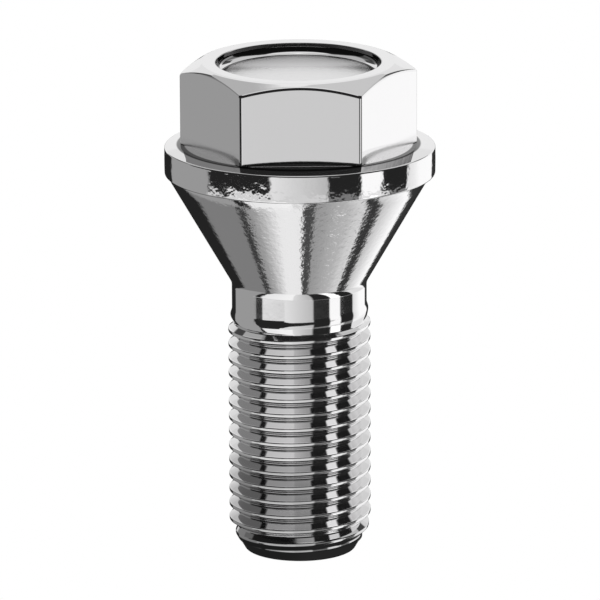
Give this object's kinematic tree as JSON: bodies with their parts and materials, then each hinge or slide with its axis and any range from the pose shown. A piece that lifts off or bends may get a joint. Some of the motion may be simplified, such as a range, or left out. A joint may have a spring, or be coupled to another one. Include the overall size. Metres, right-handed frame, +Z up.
{
  "type": "lug bolt",
  "caption": "Wheel bolt with a hexagon head recessed on top, a round flange, a conical seat, a short plain neck and a threaded shank that ends in a blunt point.",
  "frame": {"origin": "centre of the flat point at the thread's end, on which the bolt stands", "axes": "+Z up the shank towards the head; two flats of the hexagon face along Y and two corners lie along X"},
  "size_m": [0.0224, 0.0224, 0.0417],
  "materials": {
    "chrome_plate": "bright chrome plate over forged steel"
  },
  "bodies": {
    "root": {"lug_bolt": "chrome_plate"}
  },
  "joints": []
}
